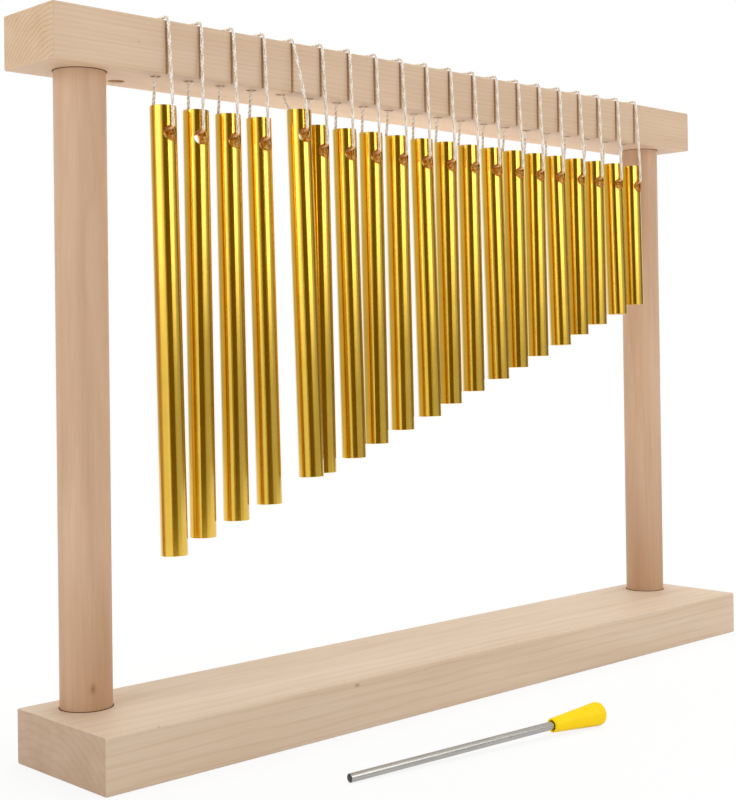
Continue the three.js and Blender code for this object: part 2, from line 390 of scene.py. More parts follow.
def braidedNylon():
    # Braided nylon cord, bleached white: bright, soft and almost without gloss, with painted
    # shade in the little gaps between the strands. Inside the tube it is painted with the
    # gold's reflected light.
    material, tree = newMaterial("braidedNylon")
    place = addNode(tree, "ShaderNodeTexCoord").outputs["Object"]
    onTop = addNode(tree, "ShaderNodeAttribute", {"attribute_name": "onTop"}).outputs["Fac"]
    inTube = addNode(tree, "ShaderNodeAttribute", {"attribute_name": "inTube"}).outputs["Fac"]
    # real filaments are 0.03 mm: drawn at 0.25 mm to show
    fibre = addNode(tree, "ShaderNodeTexNoise", {}, {
        "Vector": place, "Scale": 4000.0, "Detail": 3.0, "Roughness": 0.6})
    tone = addNode(tree, "ShaderNodeMath", multiplyAdd, {0: fibre, 1: 0.12, 2: onTop})
    # painted shade: strands that pass under, and the core where onTop is 0, are drawn darker
    shade = addNode(tree, "ShaderNodeValToRGB", {"stops": [
        (0.1, "#BC9C76"), (0.34, "#F2E2CA"), (0.56, "#FFFDF6")]}, {"Fac": tone})
    # painted reflection: inside the tube the cord takes on the gold's light
    goldLitCord = addNode(tree, "ShaderNodeMix", multiplyColour, {0: inTube, 6: shade, 7: colour("#F4B24C")})
    relief = addNode(tree, "ShaderNodeBump", {}, {
        "Height": fibre, "Strength": 0.25, "Distance": 0.00005})
    finishMaterial(tree, {
        "Base Color": goldLitCord.outputs[2], "Roughness": 0.8, "IOR": 1.53,
        "Sheen Weight": 1.0, "Sheen Roughness": 0.5, "Normal": relief})
    return material


def makeCords():
    tree, material = braidTree(), braidedNylon()
    middle = (cord["braidDiameter"] - cord["strandDiameter"]) / 2 - cord["crossingDepth"]
    sizes = {
        "Strand Diameter": cord["strandDiameter"] * mm,
        "Core Diameter": cord["coreDiameter"] * mm, "Strand Middle": middle * mm,
        "Crossing Depth": cord["crossingDepth"] * mm, "Pitch": cord["pitch"] * mm,
        "Strands Each Way": cord["strandsEachWay"], "Strands": 2 * cord["strandsEachWay"],
        "Point Spacing": cord["pointSpacing"] * mm, "Material": material}
    for number in range(1, row["count"] + 1):
        place = hanging(number)
        loop, knot = loopRoute(place), knotRoute(place)
        points = loop + knot
        edges = [(i, i + 1) for i in range(len(points) - 1) if i != len(loop) - 1]
        piece = addObject(f"cordLoop{number:02d}", plainMesh("cordRoute", points, edges))
        # how far each point lies inside the tube, for the painted gold light
        goldLightShare = piece.data.attributes.new("inTube", "FLOAT", "POINT")
        toTube = place["matrix"].inverted()
        for spot, point in zip(goldLightShare.data, points):
            depth = holeTop - (toTube @ point).z
            spot.value = min(max(depth / cord["goldLightFade"], 0), 1)
        addNodes(piece, tree, sizes)
        settle(piece)
        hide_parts(f"cord_{number:02d}")
        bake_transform(piece)


makeCords()
print("cords are braided")


# Tubes.

def tubeTree():
    # A wall section swept round a circle and cross-drilled. The top stands on z = 0.
    tree, given = newTree("drilledTube", {
        "Length": 0.0, "Wall": 0.0, "Wall Middle": 0.0, "Rim Easing": 0.0, "Sides": 96,
        "Hole Radius": 0.0, "Drill Length": 0.0, "Hole Sides": 48,
        "Tube Middle": origin, "Hole Middle": origin})
    path = addNode(tree, "GeometryNodeCurvePrimitiveCircle", {}, {
        "Resolution": given["Sides"], "Radius": given["Wall Middle"]})
    section = addNode(tree, "GeometryNodeCurvePrimitiveQuadrilateral", {}, {
        "Width": given["Wall"], "Height": given["Length"]})
    eased = addNode(tree, "GeometryNodeFilletCurve", {"mode": "POLY"}, {
        "Curve": section, "Count": 2, "Radius": given["Rim Easing"]})
    wall = addNode(tree, "GeometryNodeCurveToMesh", {}, {"Curve": path, "Profile Curve": eased})
    shell = addNode(tree, "GeometryNodeTransform", {}, {
        "Geometry": wall, "Translation": given["Tube Middle"]})
    drill = addNode(tree, "GeometryNodeMeshCylinder", {}, {
        "Vertices": given["Hole Sides"], "Radius": given["Hole Radius"],
        "Depth": given["Drill Length"]})
    across = addNode(tree, "GeometryNodeTransform", {}, {
        "Geometry": drill, "Translation": given["Hole Middle"], "Rotation": (pi / 2, 0.0, 0.0)})
    drilled = addNode(tree, "GeometryNodeMeshBoolean", exactCut, {0: shell, 1: across})
    weighted = addNode(tree, "GeometryNodeStoreNamedAttribute", {"domain": "EDGE"}, {
        "Geometry": drilled, "Name": "bevel_weight_edge",
        "Selection": drilled.outputs["Intersecting Edges"], "Value": 1.0})
    here = addNode(tree, "GeometryNodeInputPosition")
    placed = addNode(tree, "GeometryNodeStoreNamedAttribute", {"data_type": "FLOAT_VECTOR"}, {
        "Geometry": weighted, "Name": "tubePlace", "Value": here})
    closeTree(tree, placed, given)
    return tree


def goldAluminium():
    # Gold anodised aluminium tube, drawn and polished: a clear metal sheen under a hard,
    # thin glassy layer, with faint draw lines along it. The wall inside has no such layer:
    # it is rough and mottled, and glints amber; its colour paints more glints and bounce light.
    material, tree = newMaterial("goldAnodisedAluminium")
    own = addNode(tree, "ShaderNodeAttribute", {"attribute_name": "tubePlace"})
    place = own.outputs["Vector"]
    # draw lines are about 0.05 mm apart on the real tube: drawn at 0.6 mm to show
    stretched = addNode(tree, "ShaderNodeMapping", {}, {
        "Vector": place, "Scale": (1700, 1700, 1)})
    lines = addNode(tree, "ShaderNodeTexNoise", {}, {
        "Vector": stretched, "Scale": 1.0, "Detail": 3.0, "Roughness": 0.65})
    cloud = addNode(tree, "ShaderNodeTexNoise", {}, {"Vector": place, "Scale": 90.0})
    # patches of 1 mm on the wall inside: drawing scale in the relief, painted glints and bounce
    # light in the colour
    mottle = addNode(tree, "ShaderNodeTexNoise", {}, {
        "Vector": place, "Scale": 1000.0, "Detail": 3.0, "Roughness": 0.6})
    flat = addNode(tree, "ShaderNodeVectorMath", multiply, {0: place, 1: (1, 1, 0)})
    out = addNode(tree, "ShaderNodeVectorMath", length, {0: flat})
    inside = addNode(tree, "ShaderNodeMapRange", {}, {
        "Value": out.outputs["Value"], "From Min": 0.0041, "From Max": 0.0046, "To Min": 1.0,
        "To Max": 0.0})
    shade = addNode(tree, "ShaderNodeValToRGB", {"stops": [(0.3, "#E6BA34"), (0.7, "#EDC23E")]}, {
        "Fac": cloud})
    # painted glints and bounce light: amber with pale patches on the wall inside
    paintedGlintsAndBounce = addNode(tree, "ShaderNodeValToRGB", {"stops": [
        (0.4, "#DE9626"), (0.5, "#FFCE5E"), (0.6, "#FFF0B4")]}, {"Fac": mottle})
    deep = addNode(tree, "ShaderNodeMix", mixed, {0: inside, 6: shade, 7: paintedGlintsAndBounce})
    bare = addNode(tree, "ShaderNodeMapRange", {}, {
        "Value": inside, "To Min": 1.0, "To Max": 0.95})
    gloss = addNode(tree, "ShaderNodeMapRange", {}, {
        "Value": lines, "From Min": 0.3, "From Max": 0.7, "To Min": 0.13, "To Max": 0.18})
    dull = addNode(tree, "ShaderNodeMath", multiplyAdd, {0: inside, 1: 0.02, 2: gloss})
    coat = addNode(tree, "ShaderNodeMath", subtract, {0: 1.0, 1: inside})
    drawn = addNode(tree, "ShaderNodeBump", {}, {
        "Height": lines, "Strength": 0.6, "Distance": 0.00009})
    relief = addNode(tree, "ShaderNodeBump", {}, {
        "Height": mottle, "Strength": inside, "Distance": 0.0004, "Normal": drawn})
    finishMaterial(tree, {
        "Base Color": deep.outputs[2], "Metallic": bare, "Roughness": dull,
        "Coat Weight": coat, "Coat Roughness": 0.08, "Coat IOR": 1.5, "Normal": relief})
    return material


def roundNormals(mesh, matrix):
    # gives the round walls the normals of a true cylinder; the rest keeps its own
    back = matrix.inverted()
    turn = matrix.to_3x3()
    radial = 0.995  # a face that looks this much in or out belongs to a round wall
    normals = [(0, 0, 0)] * len(mesh.loops)
    for face in mesh.polygons:
        centre = back @ face.center
        spoke = Vector((centre.x, centre.y, 0)).normalized()
        facing = (turn.transposed() @ face.normal).dot(spoke)
        if abs(facing) < radial:
            continue
        for loop in face.loop_indices:
            here = back @ mesh.vertices[mesh.loops[loop].vertex_index].co
            out = Vector((here.x, here.y, 0)).normalized()
            normals[loop] = turn @ (out if facing > 0 else -out)
    mesh.normals_split_custom_set(normals)


def makeTubes():
    tree, material = tubeTree(), goldAluminium()
    for number in range(1, row["count"] + 1):
        place = hanging(number)
        piece = addObject(f"goldTube{number:02d}", bpy.data.meshes.new("tube"))
        addNodes(piece, tree, {
            "Length": place["length"] * mm, "Wall": tube["wall"] * mm,
            "Wall Middle": (tube["diameter"] - tube["wall"]) / 2 * mm,
            "Rim Easing": tube["rimEasing"] * mm, "Sides": tube["sides"],
            "Hole Radius": tube["holeDiameter"] / 2 * mm,
            "Drill Length": tube["drillLength"] * mm, "Hole Sides": tube["holeSides"],
            "Tube Middle": (0.0, 0.0, -place["length"] / 2 * mm),
            "Hole Middle": (0.0, 0.0, -tube["holeDrop"] * mm), "Material": material})
        deburr = piece.modifiers.new("deburr", "BEVEL")
        deburr.width = tube["holeEasing"] * mm
        deburr.segments = 2
        deburr.limit_method = "WEIGHT"
        settle(piece)
        for spot in piece.data.attributes["tubePlace"].data:
            spot.vector.z += number  # each tube has draw lines of its own
        matrix = Matrix.Scale(mm, 4) @ place["matrix"] @ Matrix.Scale(1 / mm, 4)
        piece.data.transform(matrix)
        piece.data.shade_smooth()
        piece.data.set_sharp_from_angle(angle=radians(32))
        roundNormals(piece.data, matrix)
        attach(piece, f"chime_{number:02d}")
        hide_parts(f"tube_{number:02d}")


makeTubes()
print("tubes are drilled")


# Turned pieces: posts, rod and cap.

def easedLine(corners):
    # rounds each corner (radius, height, easing) of a turned profile
    steps = 4
    line = []
    for i, (radius, height, easing) in enumerate(corners):
        here = Vector((radius, height))
        if easing == 0:
            line.append(here)
            continue
        before = (Vector(corners[i - 1][:2]) - here).normalized() * easing
        after = (Vector(corners[(i + 1) % len(corners)][:2]) - here).normalized() * easing
        for j in range(steps + 1):
            t = j / steps
            line.append(here + before * (1 - t) ** 2 + after * t ** 2)
    return line


def turned(name, corners, sides):
    # spins a profile about Z; a point on the axis closes it as a pole
    line = easedLine(corners)
    points, rings = [], []
    for spot in line:
        if spot.x < 1e-6:
            rings.append([len(points)] * sides)
            points.append((0, 0, spot.y))
        else:
            rings.append([len(points) + i for i in range(sides)])
            for i in range(sides):
                angle = tau * i / sides
                points.append((spot.x * cos(angle), spot.x * sin(angle), spot.y))
    faces = []
    for low, high in zip(rings, rings[1:]):
        for i in range(sides):
            j = (i + 1) % sides
            face = [low[i], low[j], high[j], high[i]]
            faces.append([v for k, v in enumerate(face) if v != face[k - 1]])
    mesh = plainMesh(name, points, (), faces)
    shell = bmesh.new()
    shell.from_mesh(mesh)
    bmesh.ops.recalc_face_normals(shell, faces=shell.faces)
    shell.to_mesh(mesh)
    shell.free()
    return mesh


def dress(piece, material, angle):
    # gives the piece its material, and keeps broad flat faces flat beside their eased edges
    piece.data.materials.clear()
    piece.data.materials.append(material)
    piece.data.shade_smooth()
    piece.data.set_sharp_from_angle(angle=radians(angle))
    weigh = piece.modifiers.new("weigh", "WEIGHTED_NORMAL")
    weigh.keep_sharp = True
    weigh.weight = 80
    settle(piece)


def grainScale(look, alongSize, acrossSize):
    # size in mm of a pattern along the grain and across it, as a scale on metres
    scale = [1 / (acrossSize * mm)] * 3
    scale["XYZ".index(look["along"])] = 1 / (alongSize * mm)
    return scale


def makeWood(name, look):
    # A solid wood: growth rings about a pith line, fibres along it, and a darker, clearer
    # pattern where the grain is cut across. "along" is the axis that the grain follows.
    material, tree = newMaterial(name)
    axis = "XYZ".index(look["along"])
    coords = addNode(tree, "ShaderNodeTexCoord").outputs
    place = coords["Object"]

    # the sway of the rings, the fibres and the clouds, each drawn out along the grain
    patterns = []
    for size, start, detail, roughness in (
            ("warpSize", look["seed"], 2.0, 0.5), ("fibreSize", (0, 0, 0), 4.0, 0.6),
            ("cloudSize", look["seed"], 1.0, 0.5)):
        stretched = addNode(tree, "ShaderNodeMapping", {}, {
            "Vector": place, "Scale": grainScale(look, *look[size]), "Location": start})
        patterns.append(addNode(tree, "ShaderNodeTexNoise", {}, {
            "Vector": stretched, "Scale": 1.0, "Detail": detail, "Roughness": roughness}))
    sway, fibre, cloud = patterns

    # growth rings
    pith = addNode(tree, "ShaderNodeVectorMath", subtract, {
        0: place, 1: Vector(look["pith"]) * mm})
    across = [1.0, 1.0, 1.0]
    across[axis] = look["taper"]
    flat = addNode(tree, "ShaderNodeVectorMath", multiply, {0: pith, 1: across})
    out = addNode(tree, "ShaderNodeVectorMath", length, {0: flat})
    warped = addNode(tree, "ShaderNodeMath", multiplyAdd, {
        0: sway, 1: look["warp"] * mm, 2: out.outputs["Value"]})
    count = addNode(tree, "ShaderNodeMath", divide, {0: warped, 1: look["ringSpacing"] * mm})
    ring = addNode(tree, "ShaderNodeMath", {"operation": "FRACT"}, {0: count})
    late = addNode(tree, "ShaderNodeValToRGB", {"stops": [
        (0.0, "#505050"), (0.1, "#000000"), (0.6, "#202020"), (0.9, "#FFFFFF"),
        (1.0, "#505050")]}, {"Fac": ring})

    # grain cut across shows on faces that look along the axis
    facing = addNode(tree, "ShaderNodeSeparateXYZ", {}, {0: coords["Normal"]})
    facingEnd = addNode(tree, "ShaderNodeMath", absolute, {0: facing.outputs[axis]})
    end = addNode(tree, "ShaderNodeMapRange", {}, {
        "Value": facingEnd, "From Min": 0.55, "From Max": 0.85})
    ringDepth = addNode(tree, "ShaderNodeMapRange", {}, {
        "Value": end, "To Min": look["ringDepth"], "To Max": look["endRingDepth"]})
    rings = addNode(tree, "ShaderNodeMath", multiply, {0: late, 1: ringDepth})
    # the middle of both noises is 0.5, so the fibres and clouds darken and lighten evenly
    level = 0.25 - 0.5 * look["fibreDepth"] - 0.5 * look["cloudDepth"]
    streaks = addNode(tree, "ShaderNodeMath", multiplyAdd, {
        0: fibre, 1: look["fibreDepth"], 2: level})
    clouds = addNode(tree, "ShaderNodeMath", multiplyAdd, {
        0: cloud, 1: look["cloudDepth"], 2: streaks})
    tone = addNode(tree, "ShaderNodeMath", {"operation": "ADD"}, {0: rings, 1: clouds})
    face, endFace = [
        addNode(tree, "ShaderNodeMix", mixed, {
            0: tone, 6: colour(look[light]), 7: colour(look[dark])}).outputs[2]
        for light, dark in (("light", "dark"), ("endLight", "endDark"))]
    wood = addNode(tree, "ShaderNodeMix", mixed, {0: end, 6: face, 7: endFace}).outputs[2]

    # bands of painted shade across the grain: (middle, half width, strength, colour), all
    # along the axis
    parts = addNode(tree, "ShaderNodeSeparateXYZ", {}, {0: place})
    for middle, half, strength, paintedShade in look["bands"]:
        away = addNode(tree, "ShaderNodeMath", subtract, {0: parts.outputs[axis], 1: middle * mm})
        gap = addNode(tree, "ShaderNodeMath", absolute, {0: away})
        mark = addNode(tree, "ShaderNodeMapRange", smoothStep, {
            "Value": gap, "From Min": 0.4 * half * mm, "From Max": half * mm, "To Min": strength,
            "To Max": 0.0})
        wood = addNode(tree, "ShaderNodeMix", multiplyColour, {
            0: mark, 6: wood, 7: colour(paintedShade)}).outputs[2]

    # tight little knots, oval along the grain: a dark middle and a brown ring that fades
    for spot, size in look["knots"]:
        away = addNode(tree, "ShaderNodeVectorMath", subtract, {0: place, 1: Vector(spot) * mm})
        oval = [1 / (size * mm)] * 3
        oval[axis] = 0.6 / (size * mm)
        shaped = addNode(tree, "ShaderNodeVectorMath", multiply, {0: away, 1: oval})
        gap = addNode(tree, "ShaderNodeVectorMath", length, {0: shaped})
        mark = addNode(tree, "ShaderNodeValToRGB", {"stops": [
            (0.0, "#E0E0E0"), (0.4, "#909090"), (0.7, "#404040"), (1.0, "#000000")]}, {
            "Fac": gap.outputs["Value"]})
        wood = addNode(tree, "ShaderNodeMix", mixed, {
            0: mark, 6: wood, 7: colour(look["knot"])}).outputs[2]

    # gloss and relief
    gloss = addNode(tree, "ShaderNodeMapRange", {}, {
        "Value": fibre, "To Min": look["roughness"] - 0.08, "To Max": look["roughness"] + 0.08})
    height = addNode(tree, "ShaderNodeMath", multiplyAdd, {0: late, 1: 0.4, 2: fibre})
    relief = addNode(tree, "ShaderNodeBump", {}, {
        "Height": height, "Strength": look["relief"], "Distance": 0.00005})
    finishMaterial(tree, {
        "Base Color": wood, "Roughness": gloss, "IOR": 1.5, "Specular IOR Level": 0.35,
        "Normal": relief})
    return material


# Beech, turned and oiled: fine and even, peach at the top and browner at the foot with
# painted shade, with long faint flecks and soft clouds
postLook = {
    "along": "Z",
    "pith": (-169, 45, 90),
    "taper": 0.06,
    "ringSpacing": 3.1,
    "warp": 9,
    "warpSize": (90, 14),
    "fibreSize": (22, 0.6),  # real pores are 0.1 mm across: drawn at 0.6 mm to show
    "fibreDepth": 0.5,
    "cloudSize": (70, 7),
    "cloudDepth": 0.9,
    "ringDepth": 0.1,
    "endRingDepth": 0.5,
    "light": "#D1AF92",
    "dark": "#B58A65",
    "endLight": "#BC9174",
    "endDark": "#916445",
    "bands": [(8, 80, 0.4, "#E6D6C2"),  # the foot, browner with painted shade
              (20, 0.3, 1.0, "#86654B"), (250, 0.3, 1.0, "#86654B")],  # painted shade in the joints at the boards
    "knot": "#825736",
    "knots": [((-171.8, 3.9, 28), 2.2)],
    "seed": (3.1, 7.7, 1.4),
    "roughness": 0.5,
    "relief": 0.3,
}

post = {
    "x": 169,
    "y": 13,
    "diameter": 19,
    "bottom": 8.3,
    "top": 261.7,
    "chamfer": 0.6,
    "rings": (80, 150, 200),  # extra rings that keep the long faces short
}
postPlaces = [(-post["x"], post["y"], 0), (post["x"], post["y"], 0)]


def makePosts():
    material = makeWood("oiledBeech", postLook)
    radius, edge = post["diameter"] / 2, post["chamfer"]
    low, high = post["bottom"], post["top"]
    for name, node, place in (("leftPost", "left_post", postPlaces[0]),
                              ("rightPost", "right_post", postPlaces[1])):
        mesh = turned(name, [
            (0, low, 0), (radius - edge, low, 0.25), (radius, low + edge, 0.25),
            *[(radius, z, 0) for z in post["rings"]],
            (radius, high - edge, 0.25), (radius - edge, high, 0.25), (0, high, 0)], 96)
        mesh.transform(Matrix.Translation(Vector(place) * mm))
        piece = addObject(name, mesh)
        dress(piece, material, 30)
        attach(piece, "stand")
        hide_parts(node)


makePosts()
print("posts are turned")


# Boards.

# Pine, planed and sanded: pale, with fine straight lines along it and clear curved rings
# on the sawn ends
barLook = {
    "along": "X",
    "pith": (0, -4, 231),
    "taper": 0.0,
    "ringSpacing": 1.8,
    "warp": 3,
    "warpSize": (64, 9),
    "fibreSize": (34, 0.6),  # real fibres are 0.05 mm: drawn at 0.6 mm to show
    "fibreDepth": 0.55,
    "cloudSize": (80, 10),
    "cloudDepth": 0.5,
    "ringDepth": 0.17,
    "endRingDepth": 0.42,
    "light": "#DABFA2",
    "dark": "#BD9875",
    "endLight": "#DCC09F",
    "endDark": "#B48D62",
    "bands": [],
    "knot": "#825531",
    "knots": [((-154.7, -4, 260.2), 0.5)],
    "seed": (0.4, 2.2, 5.1),
    "roughness": 0.52,
    "relief": 0.35,
}

baseLook = dict(
    barLook,
    pith=(0, 14, -40),
    ringSpacing=3.1,
    warp=3.5,
    seed=(8.3, 1.2, 2.7),
    ringDepth=0.2,
    light="#DBC6AE",
    dark="#BE9D7A",
    endLight="#C0A68D",
    endDark="#A07C5B",
    endRingDepth=0.15,
    knots=[((-74.6, -29, 17.9), 1.4), ((-166.5, -29, 19.6), 0.6)],
)

base = {
    "length": 376,
    "depth": 58,
    "height": 20,
    "edge": 0.8,
    "socket": 9.8,
    "socketFloor": 8,
    "socketEasing": 0.1,
    "socketCone": 2,
}


def easedBlock(name, low, high, edge):
    block = bmesh.new()
    bmesh.ops.create_cube(block, size=1)
    for corner in block.verts:
        for i in range(3):
            corner.co[i] = (high[i] if corner.co[i] > 0 else low[i]) * mm
    bmesh.ops.bevel(block, geom=block.edges[:], offset=edge * mm, segments=4,
                    profile=0.5, affect="EDGES", clamp_overlap=True)
    mesh = bpy.data.meshes.new(name)
    block.to_mesh(mesh)
    block.free()
    return addObject(name, mesh)


def cordRowTree():
    # cuts a slot in the front face and a hole behind it for each cord, with eased mouths
    tree, given = newTree("cordRow", {
        "Count": 20, "First": origin, "Step": origin, "Slot Size": origin, "Lip Size": origin,
        "Set Back": origin, "Hole Radius": 0.0, "Hole Depth": 0.0, "Flare": 0.0,
        "Low Flare": origin, "High Flare": origin})
    line = addNode(tree, "GeometryNodeMeshLine", {}, {
        "Count": given["Count"], "Start Location": given["First"], "Offset": given["Step"]})
    slot = addNode(tree, "GeometryNodeMeshCube", {}, {"Size": given["Slot Size"]})
    diamond = addNode(tree, "GeometryNodeMeshCube", {}, {"Size": given["Lip Size"]})
    hole = addNode(tree, "GeometryNodeMeshCylinder", {}, {
        "Vertices": 48, "Radius": given["Hole Radius"], "Depth": given["Hole Depth"]})
    cone = addNode(tree, "GeometryNodeMeshCone", {}, {
        "Vertices": 48, "Radius Bottom": given["Flare"], "Depth": given["Flare"]})
    cutters = []
    for shape, shift, turn in (
            (slot, origin, origin), (diamond, origin, (0.0, 0.0, pi / 4)),
            (hole, given["Set Back"], origin), (cone, given["Low Flare"], origin),
            (cone, given["High Flare"], (pi, 0.0, 0.0))):
        moved = addNode(tree, "GeometryNodeTransform", {}, {
            "Geometry": shape, "Translation": shift, "Rotation": turn})
        placed = addNode(tree, "GeometryNodeInstanceOnPoints", {}, {
            "Points": line, "Instance": moved})
        cutters.append(addNode(tree, "GeometryNodeRealizeInstances", {}, {"Geometry": placed}))
    cut = addNode(tree, "GeometryNodeMeshBoolean", exactCut, {0: given["Geometry"], 1: cutters})
    closeTree(tree, cut, given)
    return tree


def bore(piece, name, corners, places):
    # cuts a turned shape out of a board at each place
    meshes = bmesh.new()
    for place in places:
        shape = turned(name, corners, 96)
        shape.transform(Matrix.Translation(Vector(place) * mm))
        meshes.from_mesh(shape)
    joined = bpy.data.meshes.new(name)
    meshes.to_mesh(joined)
    meshes.free()
    cutter = addObject(name, joined)
    cut = piece.modifiers.new(name, "BOOLEAN")
    cut.operation = "DIFFERENCE"
    cut.solver = "EXACT"
    cut.object = cutter
    settle(piece)
    bpy.data.objects.remove(cutter)


def makeBase():
    half, deep = base["length"] / 2, base["depth"] / 2
    piece = easedBlock(
        "baseBoard", (-half, -deep, 0), (half, deep, base["height"]), base["edge"])
    radius, floor, cone = base["socket"], base["socketFloor"], base["socketCone"]
    mouth = base["height"] - base["socketEasing"]
    bore(piece, "postSockets", [
        (0, floor, 0), (radius, floor, 0), (radius, mouth, 0),
        (radius + cone, mouth + cone, 0), (0, mouth + cone, 0)], postPlaces)
    dress(piece, makeWood("sandedPineBase", baseLook), 35)
    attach(piece, "stand")
    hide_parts("base_board")


def makeBar():
    half, low, high = bar["length"] / 2, bar["underside"], bar["top"]
    material = makeWood("sandedPineBar", barLook)
    piece = easedBlock(
        "topBar", (-half, bar["front"], low), (half, bar["back"], high), bar["edge"])
    middle = (low + high) / 2
    tall = high - low + 4  # cutters stand 2 mm proud at each end
    lip = (bar["slotWidth"] / 2 + bar["mouthEasing"]) * 2 ** 0.5
    setBack = bar["holeY"] - bar["front"]
    proud = 1  # and the cones this much
    flare = bar["holeDiameter"] / 2 + bar["mouthEasing"] + proud
    flareZ = (high - low) / 2 + proud
    addNodes(piece, cordRowTree(), {
        "Count": row["count"],
        "First": Vector((hanging(1)["cordX"], bar["front"], middle)) * mm,
        "Step": Vector((row["spacing"], 0, 0)) * mm,
        "Slot Size": Vector((bar["slotWidth"], 2 * bar["slotDepth"], tall)) * mm,
        "Lip Size": Vector((lip, lip, tall)) * mm,
        "Set Back": Vector((0, setBack, 0)) * mm,
        "Hole Radius": bar["holeDiameter"] / 2 * mm, "Hole Depth": tall * mm,
        "Flare": flare * mm, "Low Flare": Vector((0, setBack, -flareZ)) * mm,
        "High Flare": Vector((0, setBack, flareZ)) * mm, "Material": material})
    settle(piece)
    radius, cone = base["socket"], base["socketCone"]
    mouth, roof = low + base["socketEasing"], high - base["socketFloor"]
    bore(piece, "barSockets", [
        (0, mouth - cone, 0), (radius + cone, mouth - cone, 0), (radius, mouth, 0),
        (radius, roof, 0), (0, roof, 0)], postPlaces)
    store, easing = bar["storeDiameter"] / 2, bar["storeEasing"]
    wide = store + easing + proud
    bore(piece, "storeHole", [
        (0, low - proud, 0), (wide, low - proud, 0), (store, low + easing, 0),
        (store, high - easing, 0), (wide, high + proud, 0), (0, high + proud, 0)],
        [(*bar["storeHole"], 0)])
    dress(piece, material, 35)
    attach(piece, "stand")
    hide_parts("top_bar")


makeBase()
makeBar()
print("boards are cut")


# Beater.

beater = {
    "start": (-120.7, -75),
    "heading": -7.6,
    "rod": 3.2,
    "rodLength": 109.7,
    "rodEdge": 0.2,
    "rodRings": (40, 80),
    "length": 119,
    "cap": 9.2,
    "capStart": 93.5,
    "bore": 1.9,
    "boreEnd": 110,
    "boreEdge": 0.1,
    "mouth": 2.68,
    "capEnd": 1.6,
    "capEdge": 0.45,
}


def drawnSteel():
    # Bright drawn steel wire: a hard grey gloss with fine lines along it, a little dull
    material, tree = newMaterial("drawnSteel")
    coords = addNode(tree, "ShaderNodeTexCoord").outputs
    heading = radians(beater["heading"])
    turnBack = addNode(tree, "ShaderNodeMapping", {}, {
        "Vector": coords["Object"], "Rotation": (0.0, 0.0, -heading)})
    # draw marks are 0.03 mm apart on the real rod: drawn at 0.3 mm to show
    stretched = addNode(tree, "ShaderNodeMapping", {}, {
        "Vector": turnBack, "Scale": (60, 3300, 3300)})
    lines = addNode(tree, "ShaderNodeTexNoise", {}, {
        "Vector": stretched, "Scale": 1.0, "Detail": 3.0, "Roughness": 0.6})
    gloss = addNode(tree, "ShaderNodeMapRange", {}, {
        "Value": lines, "From Min": 0.3, "From Max": 0.7, "To Min": 0.22, "To Max": 0.36})
    shade = addNode(tree, "ShaderNodeValToRGB", {"stops": [(0.3, "#A19E99"), (0.7, "#B8B5B0")]}, {
        "Fac": lines})
    # the cropped end is drawn dark
    facing = addNode(tree, "ShaderNodeVectorMath", {"operation": "DOT_PRODUCT"}, {
        0: coords["Normal"], 1: (-cos(heading), -sin(heading), 0)})
    cropped = addNode(tree, "ShaderNodeMapRange", {}, {
        "Value": facing.outputs["Value"], "From Min": 0.5, "From Max": 0.8})
    steel = addNode(tree, "ShaderNodeMix", mixed, {0: cropped, 6: shade, 7: colour("#4A4744")})
    relief = addNode(tree, "ShaderNodeBump", {}, {
        "Height": lines, "Strength": 0.3, "Distance": 0.00002})
    finishMaterial(tree, {
        "Base Color": steel.outputs[2], "Metallic": 1.0, "Roughness": gloss, "Normal": relief})
    return material


def mouldedVinyl():
    # Soft moulded PVC: strong yellow, satin, with a slight waxy glow and a fine mould bloom
    material, tree = newMaterial("mouldedVinyl")
    place = addNode(tree, "ShaderNodeTexCoord").outputs["Object"]
    # mould grit of 0.1 mm: drawn at 0.4 mm to show
    bloom = addNode(tree, "ShaderNodeTexNoise", {}, {
        "Vector": place, "Scale": 2500.0, "Detail": 3.0})
    cloud = addNode(tree, "ShaderNodeTexNoise", {}, {"Vector": place, "Scale": 160.0})
    shade = addNode(tree, "ShaderNodeValToRGB", {"stops": [(0.3, "#FFD400"), (0.7, "#FFDC00")]}, {
        "Fac": cloud})
    gloss = addNode(tree, "ShaderNodeMapRange", {}, {
        "Value": bloom, "To Min": 0.42, "To Max": 0.58})
    relief = addNode(tree, "ShaderNodeBump", {}, {
        "Height": bloom, "Strength": 0.2, "Distance": 0.00003})
    finishMaterial(tree, {
        "Base Color": shade, "Roughness": gloss, "IOR": 1.45, "Specular IOR Level": 0.2,
        "Normal": relief})
    return material


